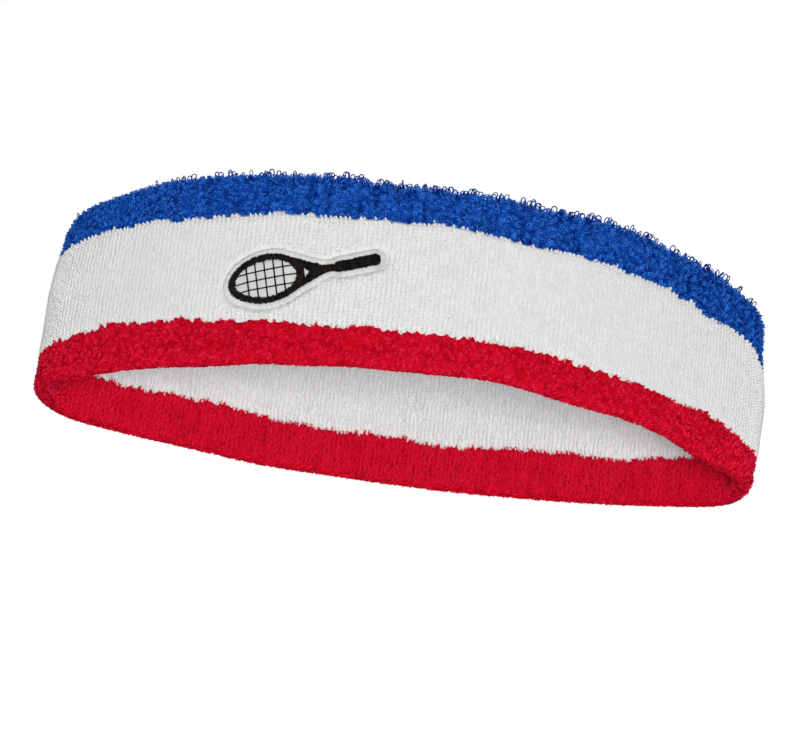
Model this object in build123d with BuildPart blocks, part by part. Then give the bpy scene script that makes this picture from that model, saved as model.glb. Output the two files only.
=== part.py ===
from build123d import *
import math
import os

# A terry sports headband: one knitted tube, folded into a double wall, that closes on itself as
# a loop. Blue, white and red pile lies on both faces. The ground knit and its elastic threads
# are inside, an overlock seam closes the tube on the head side, and an emblem is stitched
# through the outer layer.
# Frame: +Z up as worn, -Y the front, and the origin under the middle of the loop's lower rim.
# Millimetres. "Grow" is a distance outward from the middle surface of the wall.

# Loop, as it rests open
LOOP_LENGTH = 184.0  # over the outside of both end folds
BAND_WIDTH = 50.0
WALL = 6.0
FRONT_RADIUS = 118.0  # plan radii are those of the wall's middle line
BACK_RADIUS = 236.0
END_RADIUS = 15.5
RIM_RADIUS = 2.4  # rounding of the folded rims, which leaves a narrow flat to stand on

# Layers of the wall
PILE = 1.6
GROUND = 0.5

# Stripes. The fold runs a little off the middle of each coloured stripe.
BLUE_OUTER = 11.7
RED_OUTER = 9.6
RED_INNER = 11.7

# Closing seam, on the head side
SEAM_HEIGHT = 39.0
SEAM_WIDTH = 2.4
SEAM_RISE = 1.2
SEAM_SLIT = 0.4  # between the two cut edges of the ground knit
SEAM_TURN = 0.7  # how far those edges turn in
SEAM_EDGE = 0.5

# Elastic threads, covered rubber laid into each layer of the ground knit
THREAD_DIAMETER = 0.5
THREAD_OFFSET = 0.28
THREAD_COUNT = 11
THREAD_PITCH = 4.0

# Emblem: a small racket pictogram
EMBLEM_X = -30.0
EMBLEM_HEIGHT = 22.8
EMBLEM_TILT = 14.0
HEAD_X = -9.5
HEAD_LENGTH = 19.0
HEAD_WIDTH = 13.0
FRAME_WIDTH = 1.7
THROAT_START = -3.6
THROAT_END = 5.5
THROAT_HALF_WIDTH = 4.9
SHAFT_WIDTH = 2.0
GRIP_START = 7.5
GRIP_END = 19.0
GRIP_WIDTH = 3.0
GRIP_CORNER = 1.2
STRING_WIDTH = 0.45
STRING_PITCH = 2.3
MAIN_STRINGS = 5
CROSS_STRINGS = 3
BORDER = 1.4
POCKET_GAP = 0.3
BASE_BOTTOM = 2.0
BASE_TOP = 2.4
RACKET_TOP = 2.85
STRINGS_TOP = 2.7
BACKING_LENGTH = 46.0
BACKING_HEIGHT = 24.0
BACKING_CORNER = 3.0
BACKING_SPAN = (0.72, 0.88)
BOBBIN_SPAN = (0.56, 0.70)

# Plan geometry: two long arcs joined by two end arcs, all tangent
END_CENTRE_X = LOOP_LENGTH / 2 - WALL / 2 - END_RADIUS
FRONT_REACH = math.sqrt((FRONT_RADIUS - END_RADIUS) ** 2 - END_CENTRE_X**2)
BACK_REACH = math.sqrt((BACK_RADIUS - END_RADIUS) ** 2 - END_CENTRE_X**2)
FRONT_BOW = FRONT_RADIUS - FRONT_REACH  # from the line of the end centres to the front
BACK_BOW = BACK_RADIUS - BACK_REACH
END_Y = (FRONT_BOW - BACK_BOW) / 2
FRONT_CENTRE = (0, END_Y + FRONT_REACH)
BACK_CENTRE = (0, END_Y - BACK_REACH)
FRONT_HALF_ANGLE = math.degrees(math.asin(END_CENTRE_X / (FRONT_RADIUS - END_RADIUS)))
BACK_HALF_ANGLE = math.degrees(math.asin(END_CENTRE_X / (BACK_RADIUS - END_RADIUS)))
END_ANGLE = 180 - FRONT_HALF_ANGLE - BACK_HALF_ANGLE

CORE = WALL / 2 - PILE - GROUND  # half of the space between the two ground layers
GROUND_FACE = WALL / 2 - PILE
PAST_WALL = WALL


def oval_arcs(grow):
    """The closed plan line of the loop, grown outward from the wall's middle line."""
    CenterArc(FRONT_CENTRE, FRONT_RADIUS + grow, -90 - FRONT_HALF_ANGLE, 2 * FRONT_HALF_ANGLE)
    CenterArc((END_CENTRE_X, END_Y), END_RADIUS + grow, -90 + FRONT_HALF_ANGLE, END_ANGLE)
    CenterArc(BACK_CENTRE, BACK_RADIUS + grow, 90 - BACK_HALF_ANGLE, 2 * BACK_HALF_ANGLE)
    CenterArc((-END_CENTRE_X, END_Y), END_RADIUS + grow, 90 + BACK_HALF_ANGLE, END_ANGLE)


def wall_ring(inner, outer, bottom, top, mode=Mode.ADD):
    """A ring round the loop between two grown outlines and two heights."""
    with BuildSketch(Plane.XY.offset(bottom)) as section:
        with BuildLine():
            oval_arcs(outer)
        make_face()
        with BuildLine():
            oval_arcs(inner)
        make_face(mode=Mode.SUBTRACT)
    extrude(section.sketch, amount=top - bottom, mode=mode)


def folded_wall(inset):
    """The whole wall with rounded rims, with every face moved in by inset."""
    half = WALL / 2 - inset
    with BuildPart() as wall:
        wall_ring(-half, half, inset, BAND_WIDTH - inset)
        rims = wall.edges().group_by(Axis.Z)
        fillet(rims[0] + rims[-1], RIM_RADIUS - inset)
    return wall.part


os.makedirs("parts", exist_ok=True)


def publish(piece, name):
    """Labels a finished piece and writes its STEP file."""
    piece.part.label = name
    export_step(piece.part, f"parts/{name}.step")


pile_core = folded_wall(PILE)
ground_core = folded_wall(PILE + GROUND)

with BuildPart() as pile_layer:
    add(folded_wall(0))
    add(pile_core, mode=Mode.SUBTRACT)

# Emblem planes: tangent to the outer face of the front, one level and one tilted with the racket
emblem_angle = math.asin(EMBLEM_X / (FRONT_RADIUS + WALL / 2))
emblem_outward = Vector(math.sin(emblem_angle), -math.cos(emblem_angle), 0)
emblem_along = Vector(math.cos(emblem_angle), math.sin(emblem_angle), 0)
emblem_point = (
    Vector(*FRONT_CENTRE, EMBLEM_HEIGHT) + emblem_outward * (FRONT_RADIUS + WALL / 2)
)
racket_along = emblem_along.rotate(Axis((0, 0, 0), emblem_outward), EMBLEM_TILT)
emblem_level = Plane(emblem_point, x_dir=emblem_along, z_dir=emblem_outward)
emblem_plane = Plane(emblem_point, x_dir=racket_along, z_dir=emblem_outward)


def racket_silhouette(border):
    """Filled outline of the racket, widened by border."""
    with Locations((HEAD_X, 0)):
        Ellipse(HEAD_LENGTH / 2 + border, HEAD_WIDTH / 2 + border)
    with BuildLine() as throat:
        Polyline(
            (THROAT_START, THROAT_HALF_WIDTH + border),
            (THROAT_START, -THROAT_HALF_WIDTH - border),
            (THROAT_END, -SHAFT_WIDTH / 2 - border),
            (THROAT_END, SHAFT_WIDTH / 2 + border),
            close=True,
        )
    make_face(throat.edges())
    with Locations(((THROAT_START + GRIP_START) / 2, 0)):
        Rectangle(GRIP_START - THROAT_START, SHAFT_WIDTH + 2 * border)
    with Locations(((GRIP_START + GRIP_END) / 2, 0)):
        length = GRIP_END - GRIP_START + 2 * border
        RectangleRounded(length, GRIP_WIDTH + 2 * border, GRIP_CORNER + border)


def string_bed():
    """Opening of the racket's head, where the strings run."""
    with Locations((HEAD_X, 0)):
        Ellipse(HEAD_LENGTH / 2 - FRAME_WIDTH, HEAD_WIDTH / 2 - FRAME_WIDTH, mode=Mode.SUBTRACT)


def throat_opening():
    """The small triangle between the racket's head and its shaft."""
    narrow = THROAT_END - 2 * SHAFT_WIDTH
    wide = HEAD_X + HEAD_LENGTH / 2 + FRAME_WIDTH / 4
    half = THROAT_HALF_WIDTH / 4
    with BuildLine() as triangle:
        Polyline((wide, half), (wide, -half), (narrow, 0), close=True)
    make_face(triangle.edges(), mode=Mode.SUBTRACT)


def curve_to_front(inner, outer):
    """Keeps only what lies between two grown surfaces of the front arc."""
    with BuildSketch(Plane.XY) as curve:
        with Locations(FRONT_CENTRE):
            Circle(FRONT_RADIUS + outer)
            Circle(FRONT_RADIUS + inner, mode=Mode.SUBTRACT)
    extrude(curve.sketch, amount=BAND_WIDTH, mode=Mode.INTERSECT)


with BuildPart() as emblem_pocket:
    with BuildSketch(emblem_plane):
        racket_silhouette(BORDER + POCKET_GAP)
    extrude(amount=2 * WALL, both=True)
    curve_to_front(BASE_BOTTOM, PAST_WALL)

# Terry stripes: loops of cotton pile on both faces of the tube
with BuildPart() as blue_terry_edge:
    wall_ring(0, PAST_WALL, BAND_WIDTH - BLUE_OUTER, BAND_WIDTH)
    wall_ring(-PAST_WALL, 0, SEAM_HEIGHT + SEAM_WIDTH / 2, BAND_WIDTH)
    add(pile_layer.part, mode=Mode.INTERSECT)
publish(blue_terry_edge, "blue_terry_edge")

with BuildPart() as red_terry_edge:
    wall_ring(0, PAST_WALL, 0, RED_OUTER)
    wall_ring(-PAST_WALL, 0, 0, RED_INNER)
    add(pile_layer.part, mode=Mode.INTERSECT)
publish(red_terry_edge, "red_terry_edge")

with BuildPart() as white_terry_outer_panel:
    wall_ring(GROUND_FACE, WALL / 2, RED_OUTER, BAND_WIDTH - BLUE_OUTER)
    add(emblem_pocket.part, mode=Mode.SUBTRACT)
publish(white_terry_outer_panel, "white_terry_outer_panel")

with BuildPart() as white_terry_inner_panel:
    wall_ring(-WALL / 2, -GROUND_FACE, RED_INNER, SEAM_HEIGHT - SEAM_WIDTH / 2)
publish(white_terry_inner_panel, "white_terry_inner_panel")

# Ground knit: the elastic tube that carries the pile. Its cut edges meet and turn in at the seam.
with BuildPart() as ground_knit_tube:
    add(pile_core)
    add(ground_core, mode=Mode.SUBTRACT)
    for side in (-1, 1):
        near = SEAM_HEIGHT + side * SEAM_SLIT / 2
        far = near + side * SEAM_EDGE
        wall_ring(-CORE, SEAM_TURN - CORE, min(near, far), max(near, far))
    wall_ring(
        -PAST_WALL, SEAM_TURN - CORE, SEAM_HEIGHT - SEAM_SLIT / 2,
        SEAM_HEIGHT + SEAM_SLIT / 2, mode=Mode.SUBTRACT,
    )
publish(ground_knit_tube, "ground_knit_tube")

# Overlock seam: a bead of thread on the head side that also runs between the cut edges
with BuildPart() as closing_seam_thread:
    wall_ring(
        -GROUND_FACE - SEAM_RISE, -GROUND_FACE,
        SEAM_HEIGHT - SEAM_WIDTH / 2, SEAM_HEIGHT + SEAM_WIDTH / 2,
    )
    wall_ring(
        -GROUND_FACE, -CORE, SEAM_HEIGHT - SEAM_SLIT / 2, SEAM_HEIGHT + SEAM_SLIT / 2
    )
publish(closing_seam_thread, "closing_seam_thread")

# Emblem, from its white base stitching out to the racket, then what lies behind it in the wall
with BuildPart() as emblem_base_stitching:
    with BuildSketch(emblem_plane):
        racket_silhouette(BORDER)
    extrude(amount=2 * WALL, both=True)
    curve_to_front(BASE_BOTTOM, BASE_TOP)
publish(emblem_base_stitching, "emblem_base_stitching")

with BuildPart() as emblem_racket_stitching:
    with BuildSketch(emblem_plane):
        racket_silhouette(0)
        string_bed()
        throat_opening()
    extrude(amount=2 * WALL, both=True)
    curve_to_front(BASE_TOP, RACKET_TOP)
publish(emblem_racket_stitching, "emblem_racket_stitching")

with BuildPart() as emblem_string_stitching:
    with BuildSketch(emblem_plane):
        with Locations((HEAD_X, 0)):
            with GridLocations(STRING_PITCH, 0, MAIN_STRINGS, 1):
                Rectangle(STRING_WIDTH, HEAD_WIDTH)
            with GridLocations(0, STRING_PITCH, 1, CROSS_STRINGS):
                Rectangle(HEAD_LENGTH, STRING_WIDTH)
            Ellipse(
                HEAD_LENGTH / 2 - FRAME_WIDTH, HEAD_WIDTH / 2 - FRAME_WIDTH, mode=Mode.INTERSECT
            )
    extrude(amount=2 * WALL, both=True)
    curve_to_front(BASE_TOP, STRINGS_TOP)
publish(emblem_string_stitching, "emblem_string_stitching")

with BuildPart() as emblem_backing:
    with BuildSketch(emblem_level):
        RectangleRounded(BACKING_LENGTH, BACKING_HEIGHT, BACKING_CORNER)
    extrude(amount=2 * WALL, both=True)
    curve_to_front(*BACKING_SPAN)
publish(emblem_backing, "emblem_backing")

with BuildPart() as emblem_bobbin_thread:
    with BuildSketch(emblem_plane):
        racket_silhouette(0)
    extrude(amount=2 * WALL, both=True)
    curve_to_front(*BOBBIN_SPAN)
publish(emblem_bobbin_thread, "emblem_bobbin_thread")

# Elastic threads: one hoop of covered rubber per row, in each layer of the ground knit
lowest_thread = (BAND_WIDTH - (THREAD_COUNT - 1) * THREAD_PITCH) / 2
for layer, grow in (("outer", THREAD_OFFSET), ("inner", -THREAD_OFFSET)):
    for row in range(THREAD_COUNT):
        height = lowest_thread + row * THREAD_PITCH
        with BuildPart() as elastic_thread:
            with BuildLine(Plane.XY.offset(height)) as course:
                oval_arcs(grow)
            with BuildSketch(Plane(origin=course.line @ 0, z_dir=course.line % 0)):
                Circle(THREAD_DIAMETER / 2)
            sweep()
        publish(elastic_thread, f"elastic_thread_{layer}_{row + 1:02d}")
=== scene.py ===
import math

import bpy
import numpy as np
from mathutils import Matrix, Vector


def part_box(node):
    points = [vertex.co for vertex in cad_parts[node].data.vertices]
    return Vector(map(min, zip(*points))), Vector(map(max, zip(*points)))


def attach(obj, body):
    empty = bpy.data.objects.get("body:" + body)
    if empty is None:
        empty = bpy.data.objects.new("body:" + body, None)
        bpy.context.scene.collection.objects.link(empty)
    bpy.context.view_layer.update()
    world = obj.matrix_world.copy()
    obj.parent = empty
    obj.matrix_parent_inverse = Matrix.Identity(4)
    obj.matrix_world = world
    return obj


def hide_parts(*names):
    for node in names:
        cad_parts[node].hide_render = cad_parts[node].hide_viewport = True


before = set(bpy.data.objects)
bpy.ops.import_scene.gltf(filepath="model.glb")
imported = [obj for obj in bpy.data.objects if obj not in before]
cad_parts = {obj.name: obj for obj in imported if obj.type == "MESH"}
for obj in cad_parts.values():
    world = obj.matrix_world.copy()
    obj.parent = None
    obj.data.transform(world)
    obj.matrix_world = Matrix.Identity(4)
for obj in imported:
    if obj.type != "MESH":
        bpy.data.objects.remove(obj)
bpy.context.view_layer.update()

# A terry sports headband. Each stripe is a shell of dense pile that carries thousands of separate
# yarn loops, each one a thin tube. Every point of the fabric is named by s, the distance round
# the loop from the middle of the front towards +X, and p, the distance round the wall's own
# section from the middle of its outer face, upward, over the blue fold and back under the red
# one. "Proud" is a distance outward from the wall's plain surface. Sizes are in millimetres
# until a mesh is made.

MM = 0.001
draw = np.random.default_rng(41)

# ---------------------------------------------------------------- driving sizes
LENGTH = 184.0
HEIGHT = 50.0
WALL = 6.0
FRONT_RADIUS = 118.0
BACK_RADIUS = 236.0
END_RADIUS = 15.5
HALF_WALL = WALL / 2
PILE = 1.6
GROUND = 0.5


def heights(node):
    """Lowest and highest level of a CAD node, in millimetres."""
    low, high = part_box(node)
    return low.z / MM, high.z / MM


RED_OUTER, BLUE_OUTER = heights("white_terry_outer_panel")
RED_INNER, SEAM_LOW = heights("white_terry_inner_panel")
SEAM_HIGH = heights("closing_seam_thread")[1]

# ---------------------------------------------------------------- camera
AZIMUTH = math.radians(-3.2)
ELEVATION = math.radians(-23.4)
ROLL = math.radians(6.7)
DISTANCE = 736.0
LENS = 129.0
AIM_RIGHT = -1.7  # where the camera aims, from the middle of the band's box
AIM_UP = -2.3
SENSOR = 36.0
CLIP_START = 0.01  # in metres

# ---------------------------------------------------------------- plan of the loop
END_X = LENGTH / 2 - HALF_WALL - END_RADIUS
FRONT_TURN = math.asin(END_X / (FRONT_RADIUS - END_RADIUS))
BACK_TURN = math.asin(END_X / (BACK_RADIUS - END_RADIUS))
END_TURN = math.pi - FRONT_TURN - BACK_TURN
FRONT_REACH = (FRONT_RADIUS - END_RADIUS) * math.cos(FRONT_TURN)
BACK_REACH = (BACK_RADIUS - END_RADIUS) * math.cos(BACK_TURN)
END_Y = (FRONT_RADIUS - FRONT_REACH - BACK_RADIUS + BACK_REACH) / 2
SOUTH = -math.pi / 2
# centre x, centre y, radius, first angle, turn
ARCS = np.array([
    (0, END_Y + FRONT_REACH, FRONT_RADIUS, SOUTH, FRONT_TURN),
    (END_X, END_Y, END_RADIUS, SOUTH + FRONT_TURN, END_TURN),
    (0, END_Y - BACK_REACH, BACK_RADIUS, -SOUTH - BACK_TURN, 2 * BACK_TURN),
    (-END_X, END_Y, END_RADIUS, -SOUTH + BACK_TURN, END_TURN),
    (0, END_Y + FRONT_REACH, FRONT_RADIUS, SOUTH - FRONT_TURN, FRONT_TURN),
])
ARC_STARTS = np.concatenate([[0], np.cumsum(ARCS[:, 2] * ARCS[:, 4])])
ROUND = ARC_STARTS[-1]
ARC_ANGLES = np.concatenate([[0], np.cumsum(ARCS[:, 4])])


def plan(s):
    """Middle line of the wall at s: its points and its outward directions."""
    s = np.mod(s, ROUND)
    arc = np.clip(np.searchsorted(ARC_STARTS, s, side="right") - 1, 0, len(ARCS) - 1)
    x, y, radius, first, _ = ARCS[arc].reshape(*s.shape, 5).transpose(-1, *range(s.ndim))
    angle = first + (s - ARC_STARTS[arc]) / radius
    outward = np.stack([np.cos(angle), np.sin(angle)], -1)
    return np.stack([x, y], -1) + radius[..., None] * outward, outward


# ---------------------------------------------------------------- section of the wall
STRAIGHT = HEIGHT / 2 - HALF_WALL
FOLD = math.pi * HALF_WALL
SECTION_STARTS = np.cumsum([0, STRAIGHT, FOLD, 2 * STRAIGHT, FOLD, STRAIGHT])
SECTION = SECTION_STARTS[-1]
P_WHITE_OUT = (RED_OUTER - HEIGHT / 2, BLUE_OUTER - HEIGHT / 2)
P_TOP = STRAIGHT + FOLD / 2
P_BOTTOM = SECTION - P_TOP
P_BLUE = (P_WHITE_OUT[1], 2 * P_TOP - (SEAM_HIGH - HEIGHT / 2))
P_SEAM = (P_BLUE[1], 2 * P_TOP - (SEAM_LOW - HEIGHT / 2))
P_WHITE_IN = (P_SEAM[1], 2 * P_TOP - (RED_INNER - HEIGHT / 2))
P_RED = (P_WHITE_IN[1], SECTION + P_WHITE_OUT[0])


def section(p):
    """Section of the wall at p: grow, level, and the outward direction as (grow, level)."""
    p = np.mod(p, SECTION)
    k = np.clip(np.searchsorted(SECTION_STARTS, p, side="right") - 1, 0, 4)
    q = p - SECTION_STARTS[k]
    turn = np.select([k == 1, k == 3], [q / HALF_WALL, math.pi + q / HALF_WALL], 0.0)
    turn = np.where(k == 2, math.pi, turn)
    middle = np.select(
        [k == 0, k == 1, k == 2, k == 3],
        [HEIGHT / 2 + q, HEIGHT - HALF_WALL, HEIGHT - HALF_WALL - q, HALF_WALL],
        HALF_WALL + q,
    )
    out = np.stack([np.cos(turn), np.sin(turn)], -1)
    return HALF_WALL * out[..., 0], middle + HALF_WALL * out[..., 1], out


# How the soft edges wander: humps and dips as (where round the loop, height, reach)
TOP_WAVES = [
    (-122, -3.0, 16), (-104, -3.4, 7), (-90, -0.7, 8), (-62, 1.0, 16), (-10, -1.5, 10), (6, -1.2, 9),
    (28, -0.9, 6),
    (50, 0.8, 9), (72, -0.2, 9), (94, -1.9, 8), (108, -1.5, 8), (126, -1.6, 18), (190, 0.4, 30),
]
BLUE_WAVES = [
    (-99, -1.4, 6), (-87, 0.6, 5), (-72, 0.9, 6), (-48, 0.4, 7), (-36, 0.9, 6), (-12, 0.8, 5),
    (5, 1.4, 7), (40, 0.7, 7), (80, -2.6, 12), (104, -7.8, 9), (124, -5.5, 18),
]
RED_WAVES = [
    (-92, 0.9, 8), (-82, 1.8, 6), (-74, 1.6, 8), (-60, 1.6, 8), (-43, 0.6, 4), (-22, -0.6, 12),
    (-5, -0.7, 4), (18, 1.1, 7), (34, 0.8, 8), (52, 0.4, 4), (66, -0.4, 5), (76, 0.8, 5), (83, 0.6, 6),
    (98, -1.7, 8),
]
BOTTOM_WAVES = [
    (-52, -1.0, 14), (-28, -0.6, 8), (20, 1.5, 15), (58, 1.2, 16), (82, -1.2, 8), (112, -0.8, 9),
    (238, -0.5, 12),
]
BOTTOM_DROP = 0.7
INNER_RED_WAVES = [
    (119, 3.0, 7), (134, 0.7, 5), (145, -0.8, 4), (160, 0.9, 6), (173, 1.0, 8), (189, -0.9, 6),
    (224, -1.1, 7), (258, 1.0, 14), (277, -0.7, 7), (297, 2.4, 9),
]
REST_LIFT = 1.2
FLARE_LEVELS = (0, 12, 28, 44, 50)
FLARES = [(-105, 20, (1.2, 0.7, 0.8, -0.5, -0.9)), (105, 20, (-0.4, 0.3, 1.1, 0.2, 0.0))]


def hump(s, where, reach):
    """1 at a place round the loop, falling off over reach."""
    away = np.mod(s - where + ROUND / 2, ROUND) - ROUND / 2
    return np.exp(-((away / reach) ** 2))


def waves(s, humps):
    """Height at s of a line that wanders by the given humps."""
    return sum(height * hump(s, where, reach) for where, height, reach in humps)


def lift(s, grow, level):
    """How far a point of the wall stands above its level place."""
    low, high = waves(s, BOTTOM_WAVES) - BOTTOM_DROP, waves(s, TOP_WAVES)

    def between(z0, a, z1, b):
        share = np.clip((level - z0) / (z1 - z0), 0, 1)
        return a + (b - a) * share

    red, blue = waves(s, RED_WAVES), waves(s, BLUE_WAVES)
    outer = np.where(
        level < RED_OUTER,
        between(0, low, RED_OUTER, red),
        np.where(
            level < BLUE_OUTER,
            between(RED_OUTER, red, BLUE_OUTER, blue),
            between(BLUE_OUTER, blue, HEIGHT, high),
        ),
    )
    inner_red = waves(s, INNER_RED_WAVES)
    inner = np.where(
        level < RED_INNER,
        between(0, low, RED_INNER, inner_red),
        between(RED_INNER, inner_red, HEIGHT, high),
    )
    side = np.clip(0.5 + grow / WALL, 0, 1)
    return REST_LIFT + inner + (outer - inner) * side


def wall_point(s, grow, level):
    """A point of the soft wall, from its place in the level one."""
    middle, outward = plan(s)
    flare = 0 * s
    for where, reach, out in FLARES:
        flare = flare + hump(s, where, reach) * np.interp(level, FLARE_LEVELS, out)
    level = level + lift(s, grow, level)
    return np.concatenate([middle + (grow + flare)[..., None] * outward, level[..., None]], -1)


def fabric(s, p, proud):
    """Points of the fabric, proud millimetres outside the wall's plain surface."""
    s, p, proud = np.broadcast_arrays(s, p, proud)
    grow, level, out = section(p)
    return wall_point(s, grow + proud * out[..., 0], level + proud * out[..., 1])


def fabric_axes(s, p):
    """Directions at a point of the fabric: round the loop, round the section, and outward."""
    s, p = np.broadcast_arrays(s, p)
    _, outward = plan(s)
    _, _, out = section(p)
    zero = np.zeros_like(s)
    along = np.stack([-outward[..., 1], outward[..., 0], zero], -1)
    away = np.concatenate([out[..., :1] * outward, out[..., 1:]], -1)
    across = np.concatenate([-out[..., 1:] * outward, out[..., :1]], -1)
    return along, across, away


# ---------------------------------------------------------------- meshes
MIDDLE_TONE = 0.5  # a lower tone is nearer to a material's dark colour, a higher one to its light


def new_piece(name, points, faces, material, tone=None):
    """An object from points in millimetres, with smooth faces."""
    mesh = bpy.data.meshes.new(name)
    mesh.vertices.add(len(points))
    mesh.vertices.foreach_set("co", (points * MM).astype(np.float32).ravel())
    corners = faces.shape[1]
    mesh.loops.add(faces.size)
    mesh.loops.foreach_set("vertex_index", faces.astype(np.int32).ravel())
    mesh.polygons.add(len(faces))
    mesh.polygons.foreach_set("loop_start", np.arange(0, faces.size, corners, dtype=np.int32))
    layer = mesh.attributes.new("tone", "FLOAT", "POINT")
    tones = np.full(len(points), MIDDLE_TONE) if tone is None else tone
    layer.data.foreach_set("value", tones.astype(np.float32).ravel())
    mesh.update()
    mesh.validate()
    mesh.shade_smooth()
    mesh.materials.append(material)
    piece = bpy.data.objects.new(name, mesh)
    bpy.context.scene.collection.objects.link(piece)
    return piece


def ring_faces(rows, columns):
    """Faces of a surface that closes on itself both ways."""
    i, j = np.meshgrid(np.arange(rows), np.arange(columns), indexing="ij")
    here, right = i * columns + j, i * columns + (j + 1) % columns
    below, diagonal = ((i + 1) % rows) * columns + j, ((i + 1) % rows) * columns + (j + 1) % columns
    return np.stack([here, below, diagonal, right], -1).reshape(-1, 4)


NOISE_ROWS = 64


def smooth_noise(s, p, size, seed):
    """Smooth noise round the loop, from -1 to 1, with features of about size."""
    source = np.random.default_rng(seed)
    columns = max(4, round(ROUND / size))
    rows = NOISE_ROWS
    table = source.uniform(-1, 1, (columns, rows))
    x = np.mod(s, ROUND) / ROUND * columns
    y = np.mod(p / size, rows)
    i, j = np.floor(x).astype(int), np.floor(y).astype(int)
    fx, fy = x - i, y - j
    fx, fy = fx * fx * (3 - 2 * fx), fy * fy * (3 - 2 * fy)
    i0, i1, j0, j1 = i % columns, (i + 1) % columns, j % rows, (j + 1) % rows
    low = table[i0, j0] * (1 - fx) + table[i1, j0] * fx
    high = table[i0, j1] * (1 - fx) + table[i1, j1] * fx
    return low * (1 - fy) + high * fy


def at_ends(s):
    """1 at the two ends of the loop, where the pile is pressed smooth, and where painted light
    lightens the red and white yarn.
    """
    return hump(s, -106, 24) + hump(s, 106, 14)


# Seeds that two stripes share, so that both keep to the same wandering line
BLUE_LINE, RED_LINE, INNER_LINE, AT_SEAM = 51, 61, 71, None


def wander(s, seed):
    """How the line between two colours strays, as whole loops fall on one side of it."""
    if seed is AT_SEAM:
        return 0 * s
    return 0.6 * smooth_noise(s, 0 * s, 1.0, seed) + 0.3 * smooth_noise(s, 0 * s, 4.0, seed + 1)


SHELL_STEP_S = 0.45
SHELL_STEP_P = 0.65
AFT_SHARE = 6  # the hidden back of a shell has this many times fewer points than its front


def swept(name, outline_p, outline_proud, step, material):
    """A closed sheet of fabric: an outline in p and proud, carried all the way round the loop."""
    rows = round(ROUND / step)
    s = np.arange(rows)[:, None] * ROUND / rows
    points = fabric(s, outline_p[None, :], outline_proud[None, :])
    return new_piece(name, points.reshape(-1, 3), ring_faces(rows, len(outline_p)), material)


def shell(name, span, seeds, front, relief, material):
    """The dense bottom of one stripe's pile, from its front face back to the ground knit."""
    rows = round(ROUND / SHELL_STEP_S)
    s = np.arange(rows)[:, None] * ROUND / rows
    low, high = span[0] + wander(s, seeds[0]), span[1] + wander(s, seeds[1])
    count = round((span[1] - span[0]) / SHELL_STEP_P)
    fore = low + (high - low) * np.linspace(0, 1, count)
    aft = high + (low - high) * np.linspace(0, 1, max(3, count // AFT_SHARE))
    s_fore = np.broadcast_to(s, fore.shape)
    face = fabric(s_fore, fore, front + relief(s_fore, fore))
    points = np.concatenate([face, fabric(s, aft, -PILE)], 1)
    everywhere = np.broadcast_arrays(s, np.concatenate([fore, aft], 1))
    tone = MIDDLE_TONE + 0.5 * smooth_noise(*everywhere, 1.2, 91)
    faces = ring_faces(rows, points.shape[1])
    return new_piece(name, points.reshape(-1, 3), faces, material, tone=tone.ravel())


# ---------------------------------------------------------------- yarn and thread
YARN_SIDES = 4
LOOP_STEPS = 6
STRAY_STEPS = 12
LOOP_TWIST = (0.05, 0.55)  # how far apart a loop's two feet stand, across its plane
FLOOR_GAP = 0.02  # no loop reaches lower than this over the floor


def tubes(centres, normals, radius):
    """Closed tubes along many short lines. centres is (line, point, xyz), normals one per line."""
    count, steps, _ = centres.shape
    tangent = np.gradient(centres, axis=1)
    tangent /= np.linalg.norm(tangent, axis=-1, keepdims=True) + 1e-12
    side = np.broadcast_to(normals[:, None, :], centres.shape)
    side = side - (side * tangent).sum(-1, keepdims=True) * tangent
    side /= np.linalg.norm(side, axis=-1, keepdims=True) + 1e-12
    other = np.cross(tangent, side)
    angles = np.arange(YARN_SIDES) * 2 * math.pi / YARN_SIDES
    ring = np.cos(angles)[:, None] * side[..., None, :] + np.sin(angles)[:, None] * other[..., None, :]
    points = centres[..., None, :] + np.broadcast_to(radius, (count, steps))[:, :, None, None] * ring
    line = np.arange(count)[:, None, None] * steps * YARN_SIDES
    step = np.arange(steps - 1)[None, :, None] * YARN_SIDES
    a = np.arange(YARN_SIDES)[None, None, :]
    b = (a + 1) % YARN_SIDES
    sides = np.stack([
        line + step + a, line + step + b, line + step + YARN_SIDES + b, line + step + YARN_SIDES + a,
    ], -1).reshape(-1, 4)
    first = np.arange(count)[:, None] * steps * YARN_SIDES
    start = first + np.arange(YARN_SIDES)[::-1]
    end = first + (steps - 1) * YARN_SIDES + np.arange(YARN_SIDES)
    return points.reshape(-1, 3), np.concatenate([sides, start, end])


def hoop(name, centres, normals, radius, sides, material):
    """One closed tube along a line that meets itself."""
    tangent = np.roll(centres, -1, 0) - np.roll(centres, 1, 0)
    tangent /= np.linalg.norm(tangent, axis=-1, keepdims=True)
    side = normals - (normals * tangent).sum(-1, keepdims=True) * tangent
    side /= np.linalg.norm(side, axis=-1, keepdims=True)
    other = np.cross(tangent, side)
    angles = np.arange(sides) * 2 * math.pi / sides
    ring = np.cos(angles)[:, None] * side[:, None, :] + np.sin(angles)[:, None] * other[:, None, :]
    points = centres[:, None, :] + radius * ring
    return new_piece(name, points.reshape(-1, 3), ring_faces(*points.shape[:2])[:, ::-1], material)


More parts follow.
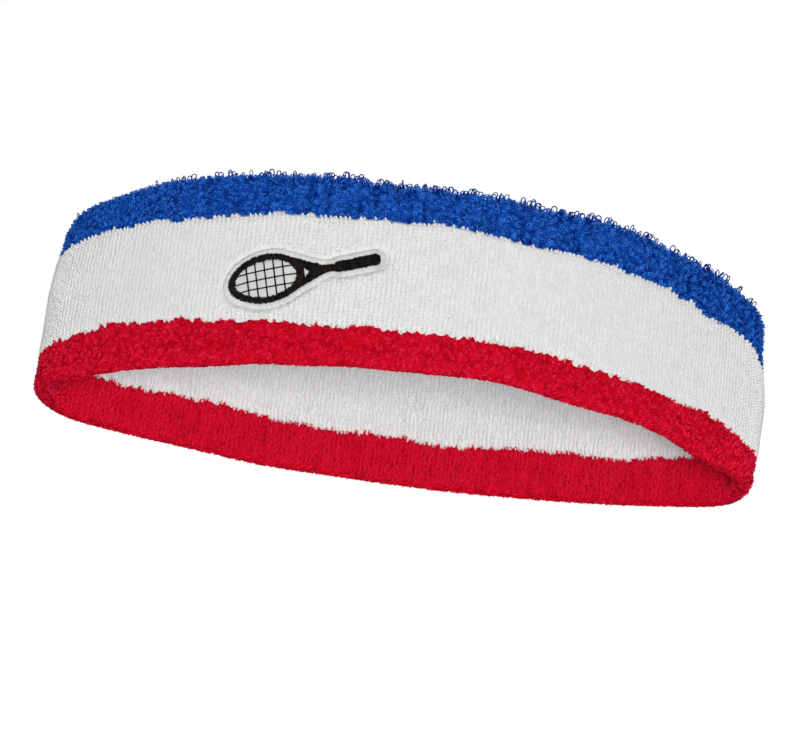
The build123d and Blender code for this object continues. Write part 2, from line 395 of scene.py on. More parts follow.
def pile(name, s, p, material, root, width, height, spin, lean, yarn, shade, steps=LOOP_STEPS):
    """Yarn loops at (s, p): each a teardrop that stands on the fabric, spun and leant."""
    along, across, away = fabric_axes(s, p)
    foot = fabric(s, p, root)
    flat = np.cos(spin)[:, None] * along + np.sin(spin)[:, None] * across
    aside = -np.sin(spin)[:, None] * along + np.cos(spin)[:, None] * across
    up = np.cos(lean)[:, None] * away + np.sin(lean)[:, None] * aside
    normals = np.cross(flat, up)
    u = np.linspace(0, 1, steps + 1)[None, :]
    rise = (1 - np.cos(2 * math.pi * u)) / 2
    swing = np.sin(2 * math.pi * u) * (0.35 + 0.65 * rise)
    twist = draw.uniform(*LOOP_TWIST, (len(s), 1))
    centres = (
        foot[:, None, :]
        + (width[:, None] * swing)[..., None] * flat[:, None, :]
        + (height[:, None] * rise)[..., None] * up[:, None, :]
        + (twist * (u - 0.5))[..., None] * normals[:, None, :]
    )
    points, faces = tubes(centres, normals, yarn[:, None])
    points[:, 2] = np.maximum(points[:, 2], FLOOR_GAP)
    # Painted shade and highlight: every loop's colour is darker toward its root and lighter toward its
    # tip.
    tone = shade[:, None] + 0.7 * (rise - 0.6)
    return new_piece(name, points, faces, material, tone=np.repeat(tone.ravel(), YARN_SIDES))


STRAY_ROOM = 1.5  # how far the loops of a stripe may stray past its plain edge


def courses(span, seeds, wale, course, jitter, grow=0.0):
    """Places of loops over a span of the section, in wales and courses.

    The wales are evenly spaced on the face that lies grow millimetres outside the wall's middle.
    """
    lengths = ARC_STARTS + grow * ARC_ANGLES
    wales = round(lengths[-1] / wale)
    columns_s = np.interp(np.arange(wales) * lengths[-1] / wales, lengths, ARC_STARTS)
    rows = round((span[1] - span[0] + 2 * STRAY_ROOM) / course)
    i, j = np.meshgrid(np.arange(wales), np.arange(rows), indexing="ij")
    s = columns_s[i] + draw.normal(0, jitter * wale, i.shape)
    p = span[0] - STRAY_ROOM + (j + 0.5) * course + draw.normal(0, jitter * course, i.shape)
    inside = (p > span[0] + wander(s, seeds[0])) & (p < span[1] + wander(s, seeds[1]))
    return s[inside], p[inside]


QUARTERS = ("front_right", "back_right", "back_left", "front_left")


def pile_quarters(name, s, p, style, material):
    """The pile of one stripe as four pieces, one for each quarter of the loop."""
    quarter = np.floor(np.mod(s, ROUND) / (ROUND / 4)).astype(int)
    made = []
    for k, label in enumerate(QUARTERS):
        here = quarter == k
        made.append(pile(f"{name}_{label}", s[here], p[here], material, **style(s[here], p[here])))
    return made


# ---------------------------------------------------------------- materials
def node_material(name):
    """A material with a Principled shader, and its node tree."""
    material = bpy.data.materials.new(name)
    material.use_nodes = True
    tree = material.node_tree
    return material, tree, tree.nodes["Principled BSDF"]


def cotton(name, dark, light, roughness, sheen, fibre_scale, bump, grain=0.35):
    """Yarn that takes its tone from the mesh, with fine fibres in colour and bump."""
    material, tree, shader = node_material(name)
    link = tree.links.new
    tone = tree.nodes.new("ShaderNodeAttribute")
    tone.attribute_name = "tone"
    place = tree.nodes.new("ShaderNodeTexCoord")
    fibre = tree.nodes.new("ShaderNodeTexNoise")
    fibre.inputs["Scale"].default_value = fibre_scale
    fibre.inputs["Detail"].default_value = 3.0
    link(place.outputs["Object"], fibre.inputs["Vector"])
    share = tree.nodes.new("ShaderNodeMath")
    share.operation = "MULTIPLY_ADD"
    share.inputs[1].default_value = 2 * grain
    share.inputs[2].default_value = 0.15 - grain
    link(fibre.outputs["Fac"], share.inputs[0])
    both = tree.nodes.new("ShaderNodeMath")
    both.operation = "MULTIPLY_ADD"
    both.inputs[1].default_value = 0.7
    link(tone.outputs["Fac"], both.inputs[0])
    link(share.outputs["Value"], both.inputs[2])
    mix = tree.nodes.new("ShaderNodeMix")
    mix.data_type = "RGBA"
    mix.inputs["A"].default_value = (*dark, 1)
    mix.inputs["B"].default_value = (*light, 1)
    link(both.outputs["Value"], mix.inputs["Factor"])
    link(mix.outputs["Result"], shader.inputs["Base Color"])
    shader.inputs["Roughness"].default_value = roughness
    shader.inputs["Sheen Weight"].default_value = sheen
    shader.inputs["Sheen Roughness"].default_value = 0.5
    shader.inputs["Sheen Tint"].default_value = (*light, 1)
    shader.inputs["Specular IOR Level"].default_value = 0.02
    relief = tree.nodes.new("ShaderNodeBump")
    relief.inputs["Strength"].default_value = bump
    relief.inputs["Distance"].default_value = 0.0002
    link(fibre.outputs["Fac"], relief.inputs["Height"])
    link(relief.outputs["Normal"], shader.inputs["Normal"])
    return material


BLUE_DARK, BLUE_LIGHT = (0.0, 0.013, 0.19), (0.038, 0.22, 0.84)
RED_DARK, RED_LIGHT = (0.60, 0.0, 0.003), (0.90, 0.019, 0.082)
WHITE_DARK, WHITE_LIGHT = (0.77, 0.77, 0.77), (0.83, 0.83, 0.82)
# The roots are coloured darker than their yarn: painted shade deep in the pile between the loops.
BLUE_SHADED_ROOTS = (0.001, 0.010, 0.12), (0.006, 0.085, 0.46)
RED_SHADED_ROOTS = (0.30, 0.001, 0.006), (0.72, 0.004, 0.025)
WHITE_SHADED_ROOTS = (0.68, 0.68, 0.68), (0.80, 0.80, 0.80)
SATIN_WHITE = (0.66, 0.66, 0.66), (0.84, 0.84, 0.84)
SATIN_BLACK = (0.002, 0.002, 0.002), (0.026, 0.021, 0.018)
# name, dark, light, roughness, sheen, fibre scale, bump
blue_yarn = cotton("blue_terry_yarn", BLUE_DARK, BLUE_LIGHT, 0.9, 0.12, 2600, 0.5)
blue_shaded_root = cotton("blue_terry_shaded_roots", *BLUE_SHADED_ROOTS, 0.95, 0.0, 2300, 1.0, grain=0.9)
red_yarn = cotton("red_terry_yarn", RED_DARK, RED_LIGHT, 0.9, 0.15, 2600, 0.5)
red_shaded_root = cotton("red_terry_shaded_roots", *RED_SHADED_ROOTS, 0.95, 0.0, 2300, 1.0, grain=0.9)
white_yarn = cotton("white_terry_yarn", WHITE_DARK, WHITE_LIGHT, 0.95, 0.1, 2200, 0.4)
white_shaded_root = cotton("white_terry_shaded_roots", *WHITE_SHADED_ROOTS, 0.95, 0.0, 2300, 0.6, grain=0.6)
knit_yarn = cotton("ground_knit_yarn", (0.55, 0.55, 0.55), (0.8, 0.8, 0.79), 0.8, 0.1, 900, 1.0)
rubber_thread = cotton("covered_elastic", (0.5, 0.49, 0.46), (0.75, 0.74, 0.7), 0.6, 0.1, 4000, 0.8)
seam_thread = cotton("seam_thread_white", (0.6, 0.6, 0.6), (0.82, 0.82, 0.82), 0.6, 0.1, 3000, 0.6)
white_satin = cotton("white_embroidery_thread", *SATIN_WHITE, 0.45, 0.1, 3500, 0.4)
black_satin = cotton("black_embroidery_thread", *SATIN_BLACK, 0.42, 0.05, 3500, 0.4)
felt = cotton("stabiliser_felt", (0.55, 0.55, 0.55), (0.8, 0.8, 0.8), 0.95, 0.1, 1600, 1.0)

# ---------------------------------------------------------------- emblem layout
EMBLEM_X = -30.0
EMBLEM_LEVEL = 22.8
EMBLEM_TILT = math.radians(14)
HEAD_X, HEAD_HALF_LENGTH, HEAD_HALF_WIDTH = -9.5, 9.5, 6.5
FRAME_WIDTH = 1.7
THROAT_START, THROAT_END, THROAT_HALF_WIDTH = -3.6, 5.5, 4.9
SHAFT_HALF_WIDTH = 1.0
GRIP_START, GRIP_END, GRIP_HALF_WIDTH, GRIP_CORNER = 7.5, 19.0, 1.5, 1.2
STRING_PITCH = 2.3
BORDER = 1.4
POCKET_GAP = 0.3
POCKET_FLOOR = -1.0
EMBLEM_S = FRONT_RADIUS * math.asin(EMBLEM_X / (FRONT_RADIUS + HALF_WALL))
EMBLEM_SCALE = FRONT_RADIUS / (FRONT_RADIUS + HALF_WALL)
EMBLEM_P = EMBLEM_LEVEL - HEIGHT / 2


def emblem_place(a, b):
    """Where a point of the emblem, a along the racket and b across it, lies on the fabric."""
    s = EMBLEM_S + (a * math.cos(EMBLEM_TILT) - b * math.sin(EMBLEM_TILT)) * EMBLEM_SCALE
    return s, EMBLEM_P + a * math.sin(EMBLEM_TILT) + b * math.cos(EMBLEM_TILT)


def emblem_plane(s, p):
    """The point of the emblem that lies at (s, p)."""
    x = (np.mod(s - EMBLEM_S + ROUND / 2, ROUND) - ROUND / 2) / EMBLEM_SCALE
    y = p - EMBLEM_P
    c, t = math.cos(EMBLEM_TILT), math.sin(EMBLEM_TILT)
    return x * c + y * t, -x * t + y * c


def oval_half(a, inset):
    """Half width of the racket's head at a, inset from its outline."""
    share = np.clip(1 - ((a - HEAD_X) / (HEAD_HALF_LENGTH - inset)) ** 2, 0, 1)
    return (HEAD_HALF_WIDTH - inset) * np.sqrt(share)


NOTHING = -9.0  # a half width below zero, where a part of the racket isn't


def racket_half(a, border):
    """Half width of the racket's whole outline at a, widened by border, or NOTHING outside it."""
    throat = np.interp(
        a, (THROAT_START, THROAT_START, THROAT_END, THROAT_END),
        (NOTHING, THROAT_HALF_WIDTH + border, SHAFT_HALF_WIDTH + border, NOTHING),
        left=NOTHING, right=NOTHING,
    )
    shaft = np.where((a > THROAT_START) & (a < GRIP_START), SHAFT_HALF_WIDTH + border, NOTHING)
    corner = GRIP_CORNER + border
    from_middle = np.abs(a - (GRIP_START + GRIP_END) / 2)
    past = np.maximum(from_middle - (GRIP_END - GRIP_START) / 2 - border + corner, 0)
    grip = GRIP_HALF_WIDTH + border - corner + np.sqrt(np.clip(corner**2 - past**2, 0, None))
    grip = np.where(past < corner, grip, NOTHING)
    in_head = np.abs(a - HEAD_X) < HEAD_HALF_LENGTH + border
    head = np.where(in_head, oval_half(a, -border), NOTHING)
    return np.maximum.reduce([throat, shaft, grip, head])


def in_emblem(s, p, border):
    """True where the racket's outline, widened by border, covers the fabric."""
    a, b = emblem_plane(s, p)
    on_panel = (p > P_WHITE_OUT[0] - 1) & (p < P_WHITE_OUT[1] + 1)
    return (np.abs(b) < racket_half(a, border)) & on_panel


# ---------------------------------------------------------------- stripes
ROOT_DEPTH = 0.78
WHITE_DEPTH = 0.38


def rough(s, p):
    """Uneven ground between the loops."""
    return 0.15 * smooth_noise(s, p, 1.3, 3) + 0.1 * smooth_noise(s, p, 3.5, 5)


def near(p, edge, reach):
    """1 on an edge of a stripe, falling off over reach."""
    return np.exp(-(((p - edge) / reach) ** 2))


def calm_blue(s):
    """1 where the blue pile lies short and even: the left of the front, and both ends."""
    from_middle = np.mod(s + ROUND / 2, ROUND) - ROUND / 2
    return (from_middle > -130) / (1 + np.exp((from_middle + 52) / 8)) + hump(s, 108, 12)


def blue_ground(s, p):
    """Blue ground, raised where its loops lie short."""
    return rough(s, p) + 0.12 * calm_blue(s)


def red_ground(s, p):
    """Red ground, raised under the bottom fold and at the two ends."""
    return rough(s, p) + 0.14 * near(p, P_BOTTOM, 3.5) + 0.12 * at_ends(s)


def dipped(s, p):
    """White ground between the loops, lower beside the coloured stripes."""
    outer_edges = near(p, P_WHITE_OUT[0], 0.9) + near(p, P_WHITE_OUT[1], 0.9)
    return 0.6 * rough(s, p) - 0.5 * outer_edges - 0.8 * near(p, P_WHITE_IN[1], 1.1)


def pocketed(s, p):
    """The outer white ground, pressed down under the emblem."""
    pressed = POCKET_FLOOR + WHITE_DEPTH - 0.15
    return np.where(in_emblem(s, p, BORDER + POCKET_GAP), pressed, dipped(s, p))


def spread(low, high, like):
    """Random values between low and high, one for each loop."""
    return draw.uniform(low, high, len(like))


CLUMP = ROUND / 119  # width of the upright clumps in the blue pile
BRIGHT_SHARE = 0.2  # how many of the red loops are lighter than the rest


def columns(s, p, seed, size=1.5):
    """Soft upright streaks, from the wales of the knit."""
    return smooth_noise(s, 0.12 * p, size, seed)


def blue_style(s, p):
    """Open curls in upright clumps; the gaps between them are lower and carry painted shade."""
    calm = calm_blue(s)
    top = near(p, P_TOP, 3.2) * (1 - 0.75 * calm)
    edge = near(p, P_BLUE[0], 1.2)
    drift = smooth_noise(s, p * 0.3, 9.0, 11)
    gap = np.exp(-((np.sin(math.pi * (s / CLUMP + 0.9 * drift)) / 0.4) ** 2))
    gap = gap * (0.65 + 0.35 * smooth_noise(s, p * 0.4, 5.0, 12)) * (1 - 0.7 * calm)
    mottle = spread(0.0, 1.15, s)
    level = spread(-0.2, 0.2, s) * (1 - 0.5 * calm)
    return dict(
        root=np.full(len(s), -1.0),
        width=spread(0.36, 0.56, s) - 0.08 * calm,
        height=1.45 + level + 0.2 * top - 0.5 * gap - 0.1 * edge - 0.22 * calm,
        spin=draw.normal(0, 0.9, len(s)) + math.pi * draw.integers(0, 2, len(s)),
        lean=spread(0.7, 1.3, s) * (1 - 0.35 * top - 0.4 * edge),
        yarn=spread(0.115, 0.155, s) - 0.01 * calm,
        # Painted shade: the loops in the gaps between clumps are coloured darker.
        shade=mottle * (1 - 0.5 * calm) + 0.3 * calm - 0.9 * gap + 0.25 * columns(s, p, 21),
    )


def red_style(s, p):
    """Tangled loops outside, and loops combed upward on the inner face."""
    inner = np.clip((P_BOTTOM - p) / 3, 0, 1)
    fold = near(p, P_BOTTOM, 3.5)
    edge = near(p, P_RED[1], 1.3) + 0.6 * near(p, P_RED[0], 1.3)
    end = at_ends(s)
    upward = (inner > 0.5) | (draw.integers(0, 2, len(s)) > 0)
    combed = draw.normal(0, 0.2, len(s)) + math.pi * upward
    bright = draw.uniform(0, 1, len(s)) < BRIGHT_SHARE
    mottle = (spread(-0.35, 0.35, s) + 0.6 * bright) * (1 - 0.7 * inner) * (1 - 0.4 * end)
    level = spread(-0.13, 0.13, s) * (1 - 0.6 * np.maximum(fold, inner))
    streak = columns(s, p, 23, 1.1) * (0.3 + 0.6 * inner)
    return dict(
        root=np.full(len(s), -1.0),
        width=spread(0.25, 0.38, s),
        height=1.3 + level + 0.08 * streak - 0.25 * fold - 0.35 * edge - 0.1 * end,
        spin=np.where(draw.uniform(0, 1, len(s)) < inner, combed, 3 * combed),
        lean=spread(0.85, 1.2, s) * (1 - 0.75 * edge) * (1 - fold) + 1.22 * fold,
        yarn=spread(0.13, 0.17, s) + 0.02 * edge,
        # Painted sheen: the outer red loops at the two ends are coloured lighter.
        shade=0.28 + mottle + 0.25 * streak + 0.12 * inner + 0.3 * end * (1 - inner),
    )


def white_style(s, p):
    """Short thick loops in close rows, pressed smooth at the ends."""
    edge = near(p, P_WHITE_OUT[0], 1.0) + near(p, P_WHITE_OUT[1], 1.0)
    worn = smooth_noise(s, p, 9.0, 15)
    return dict(
        root=np.full(len(s), -1.0),
        width=spread(0.34, 0.42, s),
        height=spread(0.80, 0.86, s) + 0.04 * smooth_noise(s, p, 4.0, 17) - 0.12 * edge,
        spin=draw.normal(math.pi / 2, 0.22, len(s)) + 0.25 * worn,
        lean=draw.normal(0, 0.13, len(s)) + 0.1 * worn,
        yarn=spread(0.26, 0.29, s) + 0.05 * at_ends(s),
        # Painted light: the white loops at the two ends are coloured lighter.
        shade=spread(0.5, 0.9, s) + 0.2 * columns(s, p, 25) + 0.2 * at_ends(s),
    )


def inner_style(s, p):
    """Short loops in rows, on the head side."""
    edge = near(p, P_WHITE_IN[1], 1.2)
    return dict(
        root=np.full(len(s), -1.0),
        width=spread(0.55, 0.72, s),
        height=spread(0.82, 0.96, s) + 0.08 * smooth_noise(s, p, 4.0, 19) - 0.15 * edge,
        spin=draw.normal(math.pi / 2, 0.12, len(s)) + 0.1 * smooth_noise(s, p, 8.0, 20),
        lean=draw.normal(0, 0.2, len(s)),
        yarn=spread(0.20, 0.24, s) - 0.05 * edge,
        shade=spread(0.3, 0.9, s) + 0.3 * columns(s, p, 27),
    )


def stray_style(s, p):
    """Long thin loops that stand out from the blue fold."""
    open_pile = 1 - hump(s, -88, 60)
    return dict(
        root=np.full(len(s), -0.9),
        width=spread(0.55, 0.8, s) + 0.15 * open_pile,
        height=spread(1.5, 2.2, s) + 0.4 * open_pile,
        spin=draw.normal(0, 0.5, len(s)),
        lean=draw.normal(0, 0.35, len(s)),
        yarn=spread(0.13, 0.17, s),
        shade=spread(-0.6, 0.2, s),
        steps=STRAY_STEPS,
    )


BLUE_EDGES, RED_EDGES = (BLUE_LINE, AT_SEAM), (INNER_LINE, RED_LINE)
OUTER_EDGES, INNER_EDGES = (RED_LINE, BLUE_LINE), (AT_SEAM, INNER_LINE)
blue_shell = shell("blue_terry_ground", P_BLUE, BLUE_EDGES, -ROOT_DEPTH, blue_ground, blue_shaded_root)
red_shell = shell("red_terry_ground", P_RED, RED_EDGES, -ROOT_DEPTH, red_ground, red_shaded_root)
white_shell = shell("white_terry_outer", P_WHITE_OUT, OUTER_EDGES, -WHITE_DEPTH, pocketed, white_shaded_root)
inner_shell = shell("white_terry_inner", P_WHITE_IN, INNER_EDGES, -WHITE_DEPTH, dipped, white_shaded_root)

# stripe, its edges, wale, course, jitter
blue_places = courses(P_BLUE, BLUE_EDGES, 1.12, 0.70, 0.15)
red_places = courses(P_RED, RED_EDGES, 1.12, 0.70, 0.15)
white_s, white_p = courses(P_WHITE_OUT, OUTER_EDGES, 1.2, 0.92, 0.05, grow=HALF_WALL)
clear = ~in_emblem(white_s, white_p, BORDER + POCKET_GAP + 0.35)
inner_places = courses(P_WHITE_IN, INNER_EDGES, 1.1, 1.0, 0.05)

STRAYS = 900
stray_s = (np.arange(STRAYS) + draw.uniform(0, 1, STRAYS)) * ROUND / STRAYS
stray_p = P_TOP + draw.normal(0, 1.4, STRAYS)
kept = draw.uniform(0, 1, STRAYS) > hump(stray_s, -88, 50) + hump(stray_s, 108, 14)

blue_piles = pile_quarters("blue_pile", *blue_places, blue_style, blue_yarn)
stray_s, stray_p = stray_s[kept], stray_p[kept]
stray_loops = pile("blue_stray_loops", stray_s, stray_p, blue_yarn, **stray_style(stray_s, stray_p))
red_piles = pile_quarters("red_pile", *red_places, red_style, red_yarn)
white_piles = pile_quarters("white_pile", white_s[clear], white_p[clear], white_style, white_yarn)
inner_piles = pile_quarters("inner_white_pile", *inner_places, inner_style, white_yarn)

# ---------------------------------------------------------------- ground knit, elastic and seam
SEAM_MIDDLE = (P_SEAM[0] + P_SEAM[1]) / 2
SEAM_SLIT = 0.4
SEAM_EDGE = 0.5
SEAM_TURN = 0.7
KNIT_FORE, KNIT_AFT = 90, 70  # points across the knit's outer and inner side
SWEEP_STEP = 1.2
knit_start, knit_end = SEAM_MIDDLE + SEAM_SLIT / 2, SEAM_MIDDLE + SECTION - SEAM_SLIT / 2
fore = np.linspace(knit_start, knit_end, KNIT_FORE)
aft = np.linspace(knit_end - SEAM_EDGE, knit_start + SEAM_EDGE, KNIT_AFT)
face, back = -PILE - 0.02, -PILE - GROUND
turned = back - SEAM_TURN
knit_p = np.concatenate([fore, fore[-1:], aft[:1], aft, aft[-1:], fore[:1]])
knit_proud = np.concatenate([
    np.full(KNIT_FORE, face), [turned, turned], np.full(KNIT_AFT, back), [turned, turned],
])
knit_shell = swept("ground_knit", knit_p, knit_proud, SWEEP_STEP, knit_yarn)

THREAD_OFFSET = 0.28
THREAD_RADIUS = 0.25
THREAD_COUNT = 11
THREAD_PITCH = 4.0
HOOP_STEPS = 206
hoop_s = np.arange(HOOP_STEPS) * ROUND / HOOP_STEPS
elastics = []
for layer, side in (("outer", 1), ("inner", -1)):
    for row in range(THREAD_COUNT):
        node = f"elastic_thread_{layer}_{row + 1:02d}"
        level = HEIGHT / 2 + (row - (THREAD_COUNT - 1) / 2) * THREAD_PITCH
        offset = np.full(HOOP_STEPS, side * THREAD_OFFSET)
        centres = wall_point(hoop_s, offset, np.full(HOOP_STEPS, level))
        upward = np.tile((0.0, 0.0, 1.0), (HOOP_STEPS, 1))
        elastics.append((hoop(f"{node}_hoop", centres, upward, THREAD_RADIUS, 8, rubber_thread), node))

STITCH_LENGTH = 1.9
STITCHES = round(ROUND / STITCH_LENGTH)
STITCH_POINTS = 8


def seam_line(name, across, proud, radius):
    """One thread of the overlock, from functions of the phase within a stitch."""
    count = STITCHES * STITCH_POINTS
    phase = np.arange(count) * 2 * math.pi / STITCH_POINTS
    s = np.arange(count) * ROUND / count
    p = SEAM_MIDDLE + across(phase)
    _, _, away = fabric_axes(s, p)
    return hoop(name, fabric(s, p, proud(phase)), away, radius, 5, seam_thread)


bead_p = np.concatenate([np.linspace(*P_SEAM, 7), P_SEAM[::-1]])
bead_proud = np.array([-1.5, -1.0, -0.8, -0.75, -0.8, -1.0, -1.5, -PILE, -PILE])
seam_bead = swept("seam_overlock_bead", bead_p, bead_proud, SWEEP_STEP, seam_thread)
# name, where it swings across the seam, how proud it lies, radius
SEAM_THREADS = (
    ("seam_looper_upper", lambda t: 1.05 * np.sin(t), lambda t: -0.62 + 0.1 * np.cos(2 * t), 0.14),
    ("seam_looper_lower", lambda t: 1.05 * np.sin(t + 2.1), lambda t: -0.68 + 0.1 * np.sin(t), 0.13),
    ("seam_needle_left", lambda t: -0.75 + 0.06 * np.sin(t), lambda t: -0.52 + 0.12 * np.cos(t), 0.13),
    ("seam_needle_right", lambda t: 0.15 + 0.06 * np.sin(t), lambda t: -0.52 + 0.12 * np.sin(t), 0.13),
)
seam_threads = [seam_line(*thread) for thread in SEAM_THREADS]

# ---------------------------------------------------------------- embroidery
THREAD_SPACING = 0.27
SATIN_STEPS = 6


def satin(name, start, end, proud, crown, radius, ragged, material):
    """Parallel threads from start to end, each (a, b) on the emblem, crowned between their ends."""
    start, end = np.asarray(start, float), np.asarray(end, float)
    run = end - start
    length = np.linalg.norm(run, axis=1, keepdims=True) + 1e-9
    stray = draw.uniform(-ragged, ragged, (2, len(start), 1))
    start, end = start + run / length * stray[0], end + run / length * stray[1]
    u = np.linspace(0, 1, SATIN_STEPS)[None, :, None]
    ab = start[:, None, :] * (1 - u) + end[:, None, :] * u
    s, p = emblem_place(ab[..., 0], ab[..., 1])
    dome = 1 - (2 * u[..., 0] - 1) ** 4
    level = proud - crown + crown * dome + draw.uniform(-0.03, 0.03, (len(start), 1))
    centres = fabric(s, p, level)
    _, _, away = fabric_axes(s[:, 2], p[:, 2])
    points, faces = tubes(centres, away, np.full((len(start), 1), radius))
    tone = np.repeat(draw.uniform(0.1, 0.9, len(start)), SATIN_STEPS * YARN_SIDES)
    return new_piece(name, points, faces, material, tone=tone)


OUTLINE_POINTS = 4001


def outline(border, spacing):
    """Points evenly spaced round the racket's outline, with their outward normals."""
    first, last = HEAD_X - HEAD_HALF_LENGTH - border, GRIP_END + border
    a = (first + last) / 2 - (last - first) / 2 * np.cos(np.linspace(0, math.pi, OUTLINE_POINTS))
    b = np.maximum(racket_half(a, border), 0)
    line = np.concatenate([np.stack([a, b], 1), np.stack([a, -b], 1)[::-1]])
    steps = np.linalg.norm(np.diff(line, axis=0), axis=1)
    distance = np.concatenate([[0], np.cumsum(steps)])
    at = np.arange(0, distance[-1], spacing)
    place = np.stack([np.interp(at, distance, line[:, k]) for k in (0, 1)], 1)
    ahead = np.roll(place, -2, 0) - np.roll(place, 2, 0)
    normal = np.stack([-ahead[:, 1], ahead[:, 0]], 1)
    return place, normal / (np.linalg.norm(normal, axis=1, keepdims=True) + 1e-9)


# Each satin's last numbers: proud, crown, radius, ragged
rim_points, rim_normals = outline(0, THREAD_SPACING)
border_satin = satin(
    "emblem_border_satin", rim_points - 0.3 * rim_normals, rim_points + BORDER * rim_normals,
    -0.5, 0.3, 0.16, 0.14, white_satin,
)
fill_a = np.arange(HEAD_X - HEAD_HALF_LENGTH, GRIP_END, THREAD_SPACING)
fill_b = np.maximum(racket_half(fill_a, 0), 0.05)
base_fill = satin(
    "emblem_base_fill", np.stack([fill_a, -fill_b], 1), np.stack([fill_a, fill_b], 1),
    -0.8, 0.05, 0.17, 0.05, white_satin,
)
bobbin = satin(
    "emblem_bobbin_satin", np.stack([fill_a, -fill_b], 1), np.stack([fill_a, fill_b], 1),
    -2.36, 0.0, 0.07, 0.05, white_satin,
)

turn = np.linspace(0, 2 * math.pi, round(2 * math.pi * 8 / THREAD_SPACING), endpoint=False)
oval = np.stack([np.cos(turn), np.sin(turn)], 1)
half = np.array([HEAD_HALF_LENGTH, HEAD_HALF_WIDTH])
frame_outer = np.array([HEAD_X, 0]) + oval * half
frame_inner = np.array([HEAD_X, 0]) + oval * (half - FRAME_WIDTH)
frame_satin = satin(
    "emblem_racket_frame", frame_inner, frame_outer, -0.25, 0.25, 0.15, 0.2, black_satin,
)

starts, ends = [], []
OPENING_START, OPENING_END, OPENING_HALF = 0.4, 1.5, 1.2
for a in np.arange(THROAT_START + 0.8, GRIP_END - 0.05, THREAD_SPACING):
    wide = racket_half(a, 0)
    hole = oval_half(a, 0) - 0.4 if a < 0 else 0
    if OPENING_START < a < OPENING_END:
        hole = OPENING_HALF * (OPENING_END - a) / (OPENING_END - OPENING_START)
    if hole > 0.1:
        starts += [(a, hole), (a, -wide)]
        ends += [(a, wide), (a, -hole)]
    else:
        starts.append((a, -wide))
        ends.append((a, wide))
handle_satin = satin("emblem_racket_handle", starts, ends, -0.22, 0.27, 0.15, 0.2, black_satin)

starts, ends = [], []
for k in (-2, -1, 0, 1, 2):
    a = HEAD_X + k * STRING_PITCH
    reach = oval_half(a, FRAME_WIDTH) + 0.3
    starts.append((a, -reach))
    ends.append((a, reach))
for k in (-1, 0, 1):
    b = k * STRING_PITCH
    share = b / (HEAD_HALF_WIDTH - FRAME_WIDTH)
    reach = (HEAD_HALF_LENGTH - FRAME_WIDTH) * math.sqrt(1 - share**2) + 0.3
    starts.append((HEAD_X - reach, b))
    ends.append((HEAD_X + reach, b))
strings = satin("emblem_strings", starts, ends, -0.45, 0.1, 0.19, 0.05, black_satin)

BACKING_HALF = (23.0, 12.0)
BACKING_FACES = (-HALF_WALL + 0.88, -HALF_WALL + 0.72)  # how proud its two faces lie


def backing_sheet(name, half_s, half_p, faces, material):
    """A thin flat patch behind the emblem, with both faces and its four edges."""
    count_s, count_p = 47, 25
    along = EMBLEM_S + np.linspace(-half_s, half_s, count_s)
    across = EMBLEM_P + np.linspace(-half_p, half_p, count_p)
    s, p = np.meshgrid(along, across, indexing="ij")
    points = np.concatenate([fabric(s, p, face).reshape(-1, 3) for face in faces])
    i, j = np.meshgrid(np.arange(count_s - 1), np.arange(count_p - 1), indexing="ij")
    a = (i * count_p + j).ravel()
    front = np.stack([a, a + count_p, a + count_p + 1, a + 1], 1)
    behind = front[:, ::-1] + count_s * count_p
    loop = np.concatenate([
        np.arange(count_s - 1) * count_p,
        (count_s - 1) * count_p + np.arange(count_p - 1),
        np.arange(count_s - 1, 0, -1) * count_p + count_p - 1,
        np.arange(count_p - 1, 0, -1),
    ])
    following = np.roll(loop, -1)
    rim = np.stack([loop, loop + count_s * count_p, following + count_s * count_p, following], 1)
    return new_piece(name, points, np.concatenate([front, behind, rim]), material)


backing = backing_sheet("emblem_backing_felt", *BACKING_HALF, BACKING_FACES, felt)

# ---------------------------------------------------------------- what stands for what
KNIT_SPAN = (0.0, SECTION - SEAM_SLIT + 2 * SEAM_TURN)
LOOP_SHEETS = (
    (blue_shell, "blue_terry_edge", "blue_terry", P_BLUE, [*blue_piles, stray_loops]),
    (red_shell, "red_terry_edge", "red_terry", P_RED, red_piles),
    (white_shell, "white_terry_outer_panel", "white_terry", P_WHITE_OUT, white_piles),
    (inner_shell, "white_terry_inner_panel", "white_terry", P_WHITE_IN, inner_piles),
    (knit_shell, "ground_knit_tube", "ground_knit", KNIT_SPAN, []),
)
for piece, node, slot, span, extras in LOOP_SHEETS:
    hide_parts(node)
    for part in [piece, *extras]:
        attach(part, "root")

STITCHING = (
    ([seam_bead, *seam_threads], "closing_seam_thread", "seam_thread"),
    ([border_satin, base_fill], "emblem_base_stitching", "white_embroidery"),
    ([frame_satin, handle_satin], "emblem_racket_stitching", "black_embroidery"),
    ([strings], "emblem_string_stitching", "black_embroidery"),
    ([bobbin], "emblem_bobbin_thread", "white_embroidery"),
    ([backing], "emblem_backing", "embroidery_backing"),
    *(([piece], node, "elastic_thread") for piece, node in elastics),
)
for pieces, node, slot in STITCHING:
    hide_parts(node)
    for part in pieces:
        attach(part, "root")

# ---------------------------------------------------------------- stage
FLOOR_RADIUS = 6.0  # in metres, like everything on the stage
WORLD_STRENGTH = 0.28


def stage_disc(name, radius, level, material):
    """A round flat floor."""
    mesh = bpy.data.meshes.new(name)
    corners = [math.tau * k / 64 for k in range(64)]
    rim = [(radius * math.cos(a), radius * math.sin(a), level) for a in corners]
    mesh.from_pydata(rim, [], [range(64)])
    mesh.materials.append(material)
    disc = bpy.data.objects.new(name, mesh)
    bpy.context.scene.collection.objects.link(disc)
    return disc


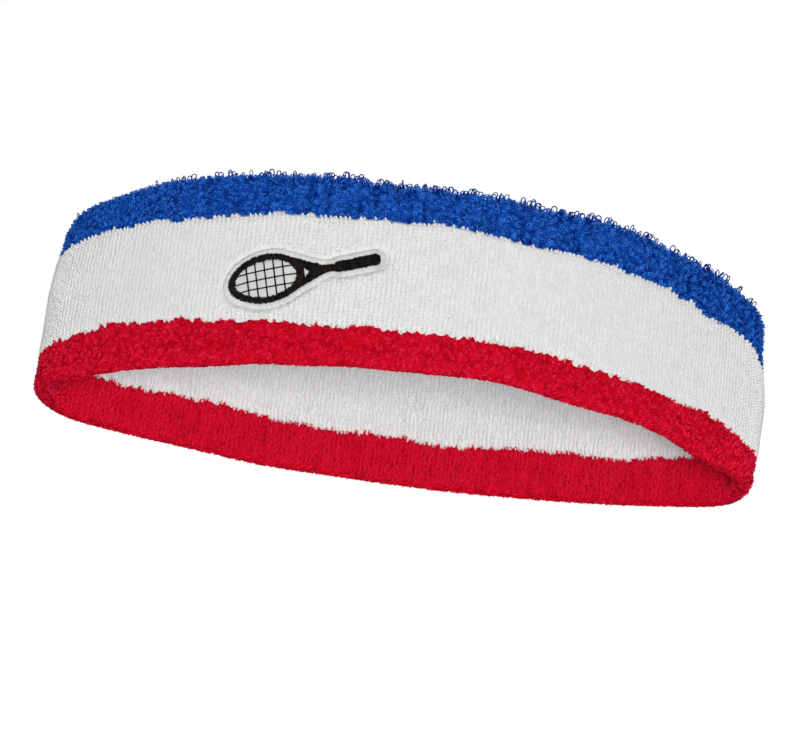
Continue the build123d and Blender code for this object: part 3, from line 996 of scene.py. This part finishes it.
# The floor shows from above only, because the band is looked at from below its rim.
floor_material, tree, shader = node_material("floor_pale")
shader.inputs["Base Color"].default_value = (0.86, 0.86, 0.86, 1)
shader.inputs["Roughness"].default_value = 0.9
clear_side = tree.nodes.new("ShaderNodeBsdfTransparent")
facing = tree.nodes.new("ShaderNodeNewGeometry")
choose = tree.nodes.new("ShaderNodeMixShader")
tree.links.new(facing.outputs["Backfacing"], choose.inputs["Fac"])
tree.links.new(shader.outputs["BSDF"], choose.inputs[1])
tree.links.new(clear_side.outputs["BSDF"], choose.inputs[2])
tree.links.new(choose.outputs["Shader"], tree.nodes["Material Output"].inputs["Surface"])
floor = stage_disc("floor", FLOOR_RADIUS, 0.0, floor_material)
floor.visible_diffuse = False
floor.visible_glossy = False
floor.visible_shadow = False

# A white surround that only the camera sees, so the background is plain
surround_material, tree, shader = node_material("surround_white")
glow = tree.nodes.new("ShaderNodeEmission")
glow.inputs["Strength"].default_value = 1.0
tree.links.new(glow.outputs["Emission"], tree.nodes["Material Output"].inputs["Surface"])
bpy.ops.mesh.primitive_uv_sphere_add(segments=48, ring_count=24, radius=FLOOR_RADIUS * 1.5)
surround = bpy.context.active_object
surround.name = "surround"
surround.data.materials.append(surround_material)
surround.visible_diffuse = False
surround.visible_glossy = False
surround.visible_transmission = False
surround.visible_shadow = False

world = bpy.data.worlds.new("studio")
world.use_nodes = True
world.node_tree.nodes["Background"].inputs["Color"].default_value = (1, 1, 1, 1)
world.node_tree.nodes["Background"].inputs["Strength"].default_value = WORLD_STRENGTH
bpy.context.scene.world = world
bpy.context.scene.view_settings.view_transform = "Standard"


def soft_light(name, place, target, size, power):
    """A round lamp, size metres across, that faces its target."""
    data = bpy.data.lights.new(name, "AREA")
    data.shape = "DISK"
    data.size = size
    data.energy = power
    light = bpy.data.objects.new(name, data)
    bpy.context.scene.collection.objects.link(light)
    light.location = place
    light.rotation_euler = (Vector(target) - Vector(place)).to_track_quat("-Z", "Y").to_euler()
    return light


MIDDLE = (0.0, 0.0, HEIGHT / 2 * MM)
soft_light("front", (0.03, -1.5, -0.56), MIDDLE, 0.35, 13)
soft_light("low", (0.0, -1.4, -0.93), MIDDLE, 0.7, 9.5)
soft_light("rim", (0.3, 1.2, 1.4), MIDDLE, 1.0, 24)

# ---------------------------------------------------------------- camera object
across_view = math.cos(ELEVATION)
backward = Vector((
    math.sin(AZIMUTH) * across_view, -math.cos(AZIMUTH) * across_view, math.sin(ELEVATION),
))
level_right = Vector((math.cos(AZIMUTH), math.sin(AZIMUTH), 0))
level_up = backward.cross(level_right)
right = level_right * math.cos(ROLL) + level_up * math.sin(ROLL)
up = level_up * math.cos(ROLL) - level_right * math.sin(ROLL)
aim = Vector((0, END_Y, HEIGHT / 2)) + right * AIM_RIGHT + up * AIM_UP
place = (aim + backward * DISTANCE) * MM
camera_data = bpy.data.cameras.new("camera")
camera_data.lens = LENS
camera_data.sensor_width = SENSOR
camera_data.clip_start = CLIP_START
camera = bpy.data.objects.new("camera", camera_data)
bpy.context.scene.collection.objects.link(camera)
axes = Matrix((right, up, backward)).transposed().to_4x4()
camera.matrix_world = Matrix.Translation(place) @ axes
bpy.context.scene.camera = camera
